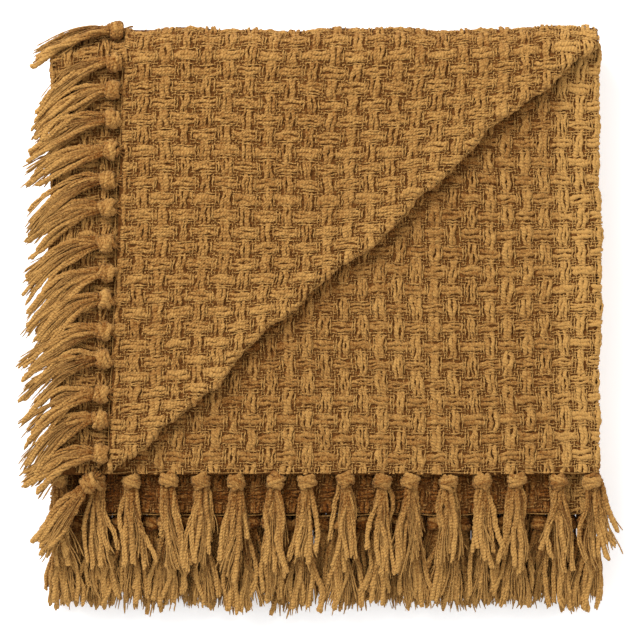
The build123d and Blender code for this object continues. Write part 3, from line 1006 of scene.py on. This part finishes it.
def knot_windings(start, ahead, side, squeeze):
    """Centre lines of the yarns wound round one knot, and the place of its middle."""
    up = np.cross(side, ahead)
    middle = start + ahead * KNOT_LONG / 2
    tilt = random.uniform(0.35, 0.9) * random.choice((-1, 1))
    paths = []
    for strand in range(WINDINGS):
        turns = random.uniform(0.9, 1.5)
        first = random.uniform(0, 2 * math.pi)
        t = np.linspace(0, 1, 34)
        angle = first + 2 * math.pi * turns * t
        crossing = strand >= FIRST_CROSSING
        place = random.uniform(-1.2, 1.2) if crossing else (strand - 2) * random.uniform(0.8, 1.2)
        centre = place * 2.0 * MM + (t - 0.5) * 2.3 * MM
        lean = (-1.1 * tilt if crossing else tilt) + random.uniform(-0.2, 0.2)
        along = centre + 3.0 * MM * lean * np.cos(angle)
        swell = np.sqrt(np.clip(1 - (along / (KNOT_LONG * 0.56)) ** 2, 0.12, 1))
        layer = CROSSING_HIGHER if crossing else 0.0
        wide = (KNOT_WIDE - 1.5 * MM) * swell + layer
        tall = ((KNOT_TALL - 1.3 * MM) * swell + layer) * squeeze
        line = (middle + ahead * along[:, None] + side * (wide * np.cos(angle))[:, None]
                + up * (tall * np.sin(angle))[:, None])
        paths.append(line)
    return paths


def tied_knots(name, places, squeeze=1.0, shade=0.0):
    """places: (start, direction away from the cloth, direction along the edge).

    squeeze flattens the knots of a row that lies under others, and shade darkens them with painted shade.
    """
    paths = []
    for start, ahead, side in places:
        paths += knot_windings(np.array(start), np.array(ahead), np.array(side), squeeze)
    paths = np.array(paths)
    count, stations = paths.shape[:2]
    t = np.linspace(0, 1, stations)
    ends = np.clip(np.minimum(t, 1 - t) / 0.06, 0.25, 1)
    half = random.uniform(1.4, 2.3, (count, 1)) * MM * ends[None, :]
    half = half * (1 + smooth_noise(count, t, (0.23, 0.5), 0.10)) * (0.5 + 0.5 * squeeze)
    tint = random.uniform(-0.45, 0.35, (count, 1)) + shade + np.zeros((1, stations))
    return tubes_from_rings(name, tube_rings(paths, half, 7), tint, run_lengths(paths), thick_yarn)


print("knots are", KNOT_WIDE * 2000, "mm wide")

# %% [markdown]
# ## Tassels
# Below the knot the same yarns hang free: five or six thick soft strands and a bundle of fine ones.
# They leave the knot close together, swell apart, wander and end at uneven lengths. Each strand is
# a curve that starts in the knot, bends with its tassel and drifts on its own. A thick strand is
# three soft plies. The two lowest rows also get loose fine yarns that start behind the knots, so
# that no table shows through a fringe that is several rows deep.

# %% Strands of a tassel
GATHER = 2.2 * MM
PLY_COUNT = 3


def lock_of_yarns(root, ahead, side, sag, bend, spread, length, number, stations, swing, loose,
                  gather=GATHER):
    """Centre lines of the yarns of one tassel, from the knot to their cut ends.

    gather is half the width at the root, spread how much wider the tassel grows, sag how far its
    end sinks, bend how far it swings along the direction swing, and loose how much it is ruffled.
    """
    up = np.cross(side, ahead)
    if up[2] < 0:
        up = -up
    t = np.linspace(0, 1, stations)[None, :]
    rank = (np.arange(number) + 0.5) / number * 2 - 1
    rank = (rank + random.uniform(-0.3, 0.3, number))[:, None]
    level = random.uniform(-1, 1, (number, 1))
    reach = length * random.uniform(0.78, 1.06, (number, 1))
    size = random.uniform(0.2, 1.15, (number, 1)) * loose
    pace = random.uniform(1.2, 2.6, (number, 1)) * math.pi
    across = rank * gather + spread * rank * np.sin(0.5 * math.pi * np.minimum(t * 1.2, 1))
    wave = np.sin(pace * t + random.uniform(0, 2 * math.pi, (number, 1)))
    across = across + size * 2.6 * MM * wave * np.minimum(t * 2.5, 1)
    stray = random.uniform(-1, 1, (number, 1)) ** 3 * 9 * MM * loose
    across = across + stray * t ** 2
    rise = level * 2.2 * MM * np.minimum(0.4 + t * 2, 1) - sag * length * t ** 1.6
    bob = np.sin(pace * 1.1 * t + random.uniform(0, 2 * math.pi, (number, 1)))
    rise = rise + 0.8 * MM * bob * np.minimum(t * 2, 1)
    drift = (bend * length * (t ** 1.9 - 0.18 * t))[..., None] * np.array(swing)
    run = reach * t
    return (np.array(root) + ahead * run[..., None] + side * across[..., None]
            + up * rise[..., None] + drift)


def ply_bundles(root, ahead, side, sag, bend, spread, length, number, stations, swing, loose):
    """Fine yarns that hang together in little bundles, side by side."""
    bundles = []
    while number > 0:
        together = min(number, int(random.integers(2, 5)))
        middle = lock_of_yarns(root, ahead, side, sag, bend, spread, length, 1, stations, swing, loose)
        offset = random.uniform(-1, 1) * spread
        t = np.linspace(0, 1, stations)[None, :, None]
        middle = middle + side * offset * np.minimum(t * 1.6, 1)
        lines = np.repeat(middle, together, axis=0)
        places = (np.arange(together) - (together - 1) / 2)[:, None, None]
        fan = random.uniform(0.8, 2.2) * MM
        shorter = random.uniform(0.86, 1.0, (together, 1, 1))
        lines = lines[:, :1] + (lines - lines[:, :1]) * shorter
        lines = lines + side * places * fan * (0.45 + 0.7 * t + 0.9 * t ** 6)
        bundles.append(lines)
        number -= together
    return np.concatenate(bundles)


def soft_plies(paths):
    """Loosely twisted, flattened plies in place of each strand."""
    ahead = np.gradient(paths, axis=1)
    ahead /= np.linalg.norm(ahead, axis=2, keepdims=True) + 1e-12
    side = np.cross(ahead, (0.0, 0.0, 1.0))
    side /= np.linalg.norm(side, axis=2, keepdims=True) + 1e-12
    up = np.cross(side, ahead)
    count, stations = paths.shape[:2]
    t = np.linspace(0, 1, stations)[None, :]
    wide = random.uniform(0.65, 1.20, (count, 1)) * MM
    turns = random.uniform(0.8, 2.2, (count, 1)) * random.choice((-1, 1), (count, 1))
    first = random.uniform(0, 2 * math.pi, (count, 1))
    plies = []
    for k in range(PLY_COUNT):
        angle = first + 2 * math.pi * (k / PLY_COUNT + turns * t)
        offset = side * (wide * np.cos(angle))[..., None] + up * (0.6 * wide * np.sin(angle))[..., None]
        shorter = random.uniform(0.95, 1.0, (count, 1, 1))
        line = paths[:, :1] + (paths - paths[:, :1]) * shorter
        plies.append(line + offset)
    return np.concatenate(plies)


# %% Hang the tassels
ROOT_INSIDE = 3.5 * MM
FILLING_BEHIND = 8 * MM
FILLING_GATHER = 12 * MM
FILLING_SPREAD = 4 * MM
FILLING_CLEAR = 14 * MM
THICK_RADIUS = 1.22 * MM
FINE_RADIUS = 0.56 * MM
# Stations and sides of a thick strand, and stations of a fine one.
NEAR_DETAIL = (54, 6, 28)
HIDDEN_DETAIL = (24, 5, 18)


def hang_tassels(name, places, length, sag, floor_z=None, strands=(6, 12), opening=(4.5, 7.5),
                 swing=(1.0, 0.0, 0.0), loose=1.0, filling=0, detail=NEAR_DETAIL):
    """places: (knot start, away direction, edge direction, bend). Returns the pieces.

    strands are the thick and the fine yarns of a tassel, opening is the least and the most that it
    spreads in millimetres, and filling the loose yarns added behind each knot, but for the ends.
    """
    thick, fine = [], []
    for start, ahead, side, bend in places:
        start = np.array(start)
        ahead = np.array(ahead, dtype=float)
        side = np.array(side, dtype=float)
        root = start + ahead * (KNOT_LONG - ROOT_INSIDE)
        own = length * random.uniform(0.93, 1.07)
        spread = random.uniform(*opening) * MM
        thick.append(lock_of_yarns(root, ahead, side, sag, bend, spread, own, strands[0], detail[0],
                                   swing, loose))
        fine.append(ply_bundles(root, ahead, side, sag, bend, spread * 0.8, own * 1.02, strands[1],
                                detail[2], swing, loose))
        if filling and abs(start[0]) < side_x - FILLING_CLEAR:
            early = start - ahead * FILLING_BEHIND
            fine.append(lock_of_yarns(early, ahead, side, sag, bend, FILLING_SPREAD, own + KNOT_LONG,
                                      filling, detail[2], swing, loose, FILLING_GATHER))
    made = []
    kinds = (
        ("thick", thick, THICK_RADIUS, detail[1], thick_yarn),
        ("fine", fine, FINE_RADIUS, 4, fine_yarn),
    )
    for kind, groups, radius, sides, material in kinds:
        paths = np.concatenate(groups)
        if kind == "thick":
            paths = soft_plies(paths)
        if floor_z is not None:
            paths[..., 2] = np.maximum(paths[..., 2], floor_z + radius * 1.5)
        count, stations = paths.shape[:2]
        t = np.linspace(0, 1, stations)
        ends = np.where(t > 0.985, 0.55, 1.0) * np.clip(0.5 + t / 0.12, 0.5, 1)
        half = radius * random.uniform(0.65, 1.35, (count, 1)) * ends[None, :]
        half = half * (1 + smooth_noise(count, t, (0.06, 0.13, 0.3), 0.16))
        # Painted shade near the knot: each strand is darker at its root and paler towards its tip, and the
        # fine yarns, which lie below the thick ones, are darker still near the root.
        tint = random.uniform(-0.3, 0.3, (count, 1)) + (1.15 * t - 0.45)[None, :]
        if kind == "fine":
            tint = tint - 0.35 * (1 - t)[None, :]
        label = name + "_" + kind
        rings = tube_rings(paths, half, sides, 0.27)
        made += tubes_from_rings(label, rings, tint, run_lengths(paths), material)
    return made


print("tassels ready")

# %% [markdown]
# ## Where the knots sit
# The model's rows of knots give the places. In each row the first and last knot are at the ends of
# the row's box, the spacing is the same all along, and a real hand adds a few millimetres of
# unevenness, which is put back here.

# %% Rows of knots along the front
KNOT_STEP = 27.7 * MM
KNOT_RADIUS = 4.6 * MM


def front_places(node, unevenness, bend_spread, closer=0.0):
    """Places of one row of knots; closer moves the row towards the cloth."""
    low, high = low_high(node)
    number = int(round((high[0] - low[0] - 2 * KNOT_RADIUS) / KNOT_STEP)) + 1
    middle_z = (low[2] + high[2]) / 2
    places = []
    for x in np.linspace(low[0] + KNOT_RADIUS, high[0] - KNOT_RADIUS, number):
        x = x + random.uniform(-1, 1) * unevenness
        y = high[1] + closer + random.uniform(-1.5, 1.5) * MM
        turn = random.uniform(-1, 1) * bend_spread
        places.append(((x, y, middle_z), (0.0, -1.0, 0.0), (1.0, 0.0, 0.0), turn))
    return places


def under_another(row, above):
    """Each tassel of a covered row slides under one of the row above."""
    moved = []
    for place, turn_to in zip(row, above):
        (_, y, z), ahead, side, bend = place
        moved.append(((turn_to[0][0], y, z), ahead, side, bend))
    return moved


# %% Places of every row
outward = np.array([0.20, -0.98, 0.0])
outward_side = np.array([0.98, 0.20, 0.0])
middle_row = front_places("quarter1_middle_fringe_knots", 3.5 * MM, 0.16, 3 * MM)
under_row = front_places("quarter1_under_fringe_knots", 3 * MM, 0.05)
half_row = len(under_row) // 2
under_row = under_another(under_row, middle_row[:half_row] + middle_row[half_row + 1:])
last_under = under_row[-1][0]
under_row[-1] = ((side_x - 5 * MM, last_under[1] + 2 * MM, last_under[2]), outward, outward_side, 0.1)
top_row = front_places("quarter1_top_fringe_knots", 0, 0.0)
fourth_row = front_places("quarter4_top_fringe_knots", 4 * MM, 0.12)
third_row = front_places("quarter4_middle_fringe_knots", 4 * MM, 0.12)
second_row = front_places("quarter4_under_fringe_knots", 4 * MM, 0.12)
leaning = np.array([-0.64, -0.768, 0.0])
leaning_side = np.array([0.768, -0.64, 0.0])
top_row = [(start, leaning, leaning_side, 0.05) for start, _, _, _ in top_row]
print("front rows", len(middle_row), len(under_row), len(top_row), len(fourth_row))


# %% Tie the front rows
def fringe_row(name, places, length, sag, squeeze=1.0, floor_z=None, strands=(6, 12),
               opening=(4.5, 7.5), filling=0, shade=0.0):
    """The knots and the tassels of one row."""
    knots = tied_knots(name + "_knots", [(a, b, c) for a, b, c, _ in places], squeeze, shade)
    detail = HIDDEN_DETAIL if filling else NEAR_DETAIL
    tassels = hang_tassels(name + "_tassels", places, length, sag, floor_z, strands, opening,
                           filling=filling, detail=detail)
    return knots, tassels


# The shade of the three lower rows is painted shade: their knots lie in the shadow of the rows above.
front_rows = {
    "quarter1_middle_fringe": fringe_row("middle_row", middle_row, 69 * MM, 0.03, strands=(5, 14),
                                         opening=(5.0, 9.0)),
    "quarter1_under_fringe": fringe_row("under_row", under_row, 64 * MM, 0.04, 0.5, strands=(4, 12)),
    "quarter1_top_fringe": fringe_row("top_corner", top_row, 64 * MM, 0.03, strands=(8, 26),
                                      opening=(8.0, 11.0)),
    "quarter4_top_fringe": fringe_row("fourth_row", fourth_row, 64 * MM, 0.12, strands=(7, 30),
                                      opening=(8.0, 12.0), shade=-0.2),
    "quarter4_middle_fringe": fringe_row("third_row", third_row, 65 * MM, 0.20, strands=(7, 30),
                                         opening=(10.0, 13.0), filling=44, shade=-0.6),
    "quarter4_under_fringe": fringe_row("second_row", second_row, 64 * MM, 0.28, floor_z=0.0,
                                        strands=(9, 26), opening=(12.0, 15.0), filling=44,
                                        shade=-0.6),
}
print("rows tied", len(front_rows))

# %% Knots and tassels of the turned-back corner
CORNER_STEP = 23.5 * MM
KNOTS_HIGHER = 0.4 * MM
knots_low, knots_high = low_high("corner_knots")
corner_row = []
corner_count = int(round((knots_high[1] - knots_low[1]) / CORNER_STEP)) + 1
lying_z = top_high[2] + KNOTS_HIGHER + KNOT_RADIUS
for number in range(corner_count):
    y = knots_low[1] + KNOT_RADIUS + number * CORNER_STEP + random.uniform(-2.5, 2.5) * MM
    arm = lying_z - bend_z
    slope = math.asin(min(max(y - back_start, 0) / arm, 0.95))
    z = bend_z + arm * math.cos(slope) if y > back_start else lying_z
    start = (corner_edge_x(y) - random.uniform(0.5, 2.5) * MM, y, z)
    down = (0.0, math.cos(slope), -math.sin(slope))
    droop = random.uniform(-0.85, -0.40)
    if y > back_start:
        droop = 0.45 * droop
    corner_row.append((start, (-1.0, 0.0, 0.0), down, droop))
corner_knots = tied_knots("corner_knots_tied", [(a, b, c) for a, b, c, _ in corner_row])
corner_tassels = hang_tassels("corner_tassels_hung", corner_row, 61 * MM, 0.07, strands=(6, 32),
                              opening=(7.0, 10.0), swing=(0.0, 1.0, 0.0), loose=0.8)
print("corner row", len(corner_row), "knots")


# %% [markdown]
# ## Gathered warp ends and the edge thread
# Between the last weft and each knot the warp ends are drawn together, and one thin thread runs
# along the whole edge from knot to knot. Both are short, but without them the knots float.

# %% Warp ends drawn into the knots
END_REACH = 5 * MM
END_OFFSETS_MM = (-6.0, -2.5, 0.5, 2.5, 5.5)


def drawn_ends(name, places, edge_z):
    """Short yarns from the cloth's edge, spread there and drawn together in each knot."""
    paths = []
    for start, ahead, side, _ in places:
        start, ahead, side = np.array(start), np.array(ahead, dtype=float), np.array(side, dtype=float)
        for offset in END_OFFSETS_MM:
            wide = (offset + random.uniform(-0.8, 0.8)) * MM
            far = start - ahead * END_REACH + side * wide
            far[2] = edge_z(far)
            near = start + ahead * 2.5 * MM + side * wide * 0.22
            t = np.linspace(0, 1, 9)[:, None]
            ease = t * t * (3 - 2 * t)
            line = far + (near - far) * t
            line = line + side * (wide * 0.78) * (t - ease)
            paths.append(line)
    paths = np.array(paths)
    count, stations = paths.shape[:2]
    half = random.uniform(0.5, 1.0, (count, 1)) * MM * np.ones((1, stations))
    tint = random.uniform(-0.55, -0.2, (count, 1)) + np.zeros((1, stations))
    return tubes_from_rings(name, tube_rings(paths, half, 6), tint, run_lengths(paths), thick_yarn)


front_ends = []
front_ends += drawn_ends("middle_row_ends", middle_row, lambda p: bend_z + outer_radius)
front_ends += drawn_ends("top_corner_ends", top_row, lambda p: top_z)
front_ends += drawn_ends("fourth_row_ends", fourth_row, lambda p: bend_z + inner_radius + layer_pitch)


def corner_face_z(point):
    """Height of the corner's cloth, which hangs down past the start of the back bend."""
    past = max(point[1] - back_start, 0)
    return bend_z + lip_radius * math.cos(math.asin(min(past / lip_radius, 0.95)))


corner_ends = drawn_ends("corner_row_ends", corner_row, corner_face_z)
print("drawn ends", len(front_ends) + len(corner_ends), "pieces")


# %% Thread along each edge
THREAD_STATIONS = 220
THREAD_HALF = 0.42 * MM
THREAD_SLACK = 0.9 * MM


def edge_thread(name, points, sag_side):
    """A thin thread along an edge, slack between the places that it passes."""
    points = np.array(points)
    t = np.linspace(0, 1, THREAD_STATIONS)
    knots_at = np.linspace(0, 1, len(points))
    line = np.stack([np.interp(t, knots_at, points[:, k]) for k in range(3)], axis=-1)
    slack = np.abs(np.sin(math.pi * t * (len(points) - 1))) * THREAD_SLACK
    line = line + np.array(sag_side) * slack[:, None]
    line[:, 2] += 0.5 * MM * np.sin(t * 90)
    paths = np.stack([line, line + np.array([0, 0, 0.7 * MM])])
    half = np.full((2, THREAD_STATIONS), THREAD_HALF)
    tint = np.full((2, THREAD_STATIONS), 0.1)
    return tubes_from_rings(name, tube_rings(paths, half, 5), tint, run_lengths(paths), fine_yarn)


def row_line(places, z):
    """The thread's way along the front, from one side of the stack to the other."""
    inner = [(start[0], start[1] + 1.0 * MM, z) for start, _, _, _ in places]
    return [(-side_x, inner[0][1], z)] + inner + [(side_x, inner[-1][1], z)]


first_line = row_line(middle_row, middle_low[2] + 2.2 * MM)
last_line = row_line(fourth_row, last_low[2] + 2.0 * MM)
threads_first = edge_thread("middle_row_thread", first_line, (0, -1, 0))
threads_last = edge_thread("fourth_row_thread", last_line, (0, -1, 0))
corner_line = [(start[0] + 1.0 * MM, start[1], corner_face_z(start)) for start, _, _, _ in corner_row]
threads_corner = edge_thread("corner_row_thread", corner_line, (-1, 0, 0))
print("edge threads", len(threads_first) + len(threads_last) + len(threads_corner))

# %% [markdown]
# ## Everything rides on its body
# The stack stays still and the corner turns. The yarns, knots and tassels of each go with its
# ground sheet onto the same body, and each solid of the model that they replace is hidden.

# %% Bodies, and the solids that the pieces replace
all_nodes = list(frame["nodes"])
corner_nodes = [n for n in all_nodes if n.startswith("corner_")]
still_nodes = [n for n in all_nodes if not n.startswith("corner_")]
still_fringe = [n for n in still_nodes if "fringe" in n or "threads" in n]
still_cloth = [n for n in still_nodes if n not in still_fringe]
corner_fringe = ["corner_knots", "corner_tassels", "corner_edge_thread"]
corner_cloth = [n for n in corner_nodes if n not in corner_fringe]

still_fringe_pieces = list(front_ends)
for name, (knots, tassels) in front_rows.items():
    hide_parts(name + "_knots")
    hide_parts(name + "_tassels")
    still_fringe_pieces += knots + tassels
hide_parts("quarter1_edge_threads")
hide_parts("quarter4_edge_threads")
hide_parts(*still_cloth)
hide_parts(*corner_cloth)
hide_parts("corner_knots")
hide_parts("corner_tassels")
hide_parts("corner_edge_thread")
still_fringe_pieces += threads_first + threads_last
corner_fringe_pieces = corner_knots + corner_tassels + corner_ends + threads_corner

for piece in [stack_ground, *stack_weave, *still_fringe_pieces]:
    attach(piece, "stack")
for piece in [corner_ground, *corner_weave, *corner_fringe_pieces]:
    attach(piece, "corner")

pieces = [o for o in bpy.context.scene.objects if o.type == "MESH" and not o.hide_render]
print("pieces", len(pieces), "faces", sum(len(o.data.polygons) for o in pieces))

# %% [markdown]
# ## Table, light and camera
# The throw is shown from straight above on a plain pale table. A broad soft light stands at the
# back left, so that the crease and the knots throw a short soft shade to the front right, and a
# bright even surrounding keeps the holes of the weave from going black. The table gives off a little
# light of its own, so that it stays white round the throw.

# %% Table
TABLE_GLOW = 0.3
TABLE_BELOW = 0.5 * MM


def pale_table():
    """A wide plain top, just under the throw."""
    bpy.ops.mesh.primitive_plane_add(size=8, location=(0, 0, -TABLE_BELOW))
    table = bpy.context.object
    table.name = "table_top"
    material = bpy.data.materials.new("pale_table")
    material.use_nodes = True
    shader = material.node_tree.nodes["Principled BSDF"]
    shader.inputs["Base Color"].default_value = (1.0, 1.0, 1.0, 1.0)
    shader.inputs["Roughness"].default_value = 0.8
    shader.inputs["Emission Color"].default_value = (1.0, 1.0, 1.0, 1.0)
    shader.inputs["Emission Strength"].default_value = TABLE_GLOW
    table.data.materials.append(material)


pale_table()
print("table ready")


# %% Lights
def soft_light(name, place, size, power):
    """A square lamp that points at the middle of the throw."""
    data = bpy.data.lights.new(name, "AREA")
    data.size = size
    data.energy = power
    light = bpy.data.objects.new(name, data)
    bpy.context.scene.collection.objects.link(light)
    light.location = place
    light.rotation_euler = (-Vector(place)).to_track_quat("-Z", "Y").to_euler()


soft_light("key_light", (-1.2, 1.5, 1.75), 1.2, 66)
soft_light("fill_light", (1.9, -0.3, 1.3), 2.0, 10)
world = bpy.context.scene.world or bpy.data.worlds.new("studio")
bpy.context.scene.world = world
world.use_nodes = True
background = world.node_tree.nodes["Background"]
background.inputs["Color"].default_value = (1.0, 1.0, 1.0, 1.0)
background.inputs["Strength"].default_value = 0.78
bpy.context.scene.view_settings.view_transform = "Standard"
print("lights ready")


# %% Camera
SENSOR_MM = 36.0
CAMERA_UP = 2.0
FIELD_WIDE = 0.4992
CAMERA_X = -0.0043
CAMERA_Y = -0.0546


def camera_above():
    """A camera that looks straight down; FIELD_WIDE is the width it sees at the top of the stack."""
    data = bpy.data.cameras.new("camera")
    data.sensor_width = SENSOR_MM
    data.lens = SENSOR_MM * CAMERA_UP / FIELD_WIDE
    camera = bpy.data.objects.new("camera", data)
    bpy.context.scene.collection.objects.link(camera)
    camera.location = (CAMERA_X, CAMERA_Y, top_high[2] + CAMERA_UP)
    bpy.context.scene.camera = camera


camera_above()
print("camera", CAMERA_UP, "m above the top layer")
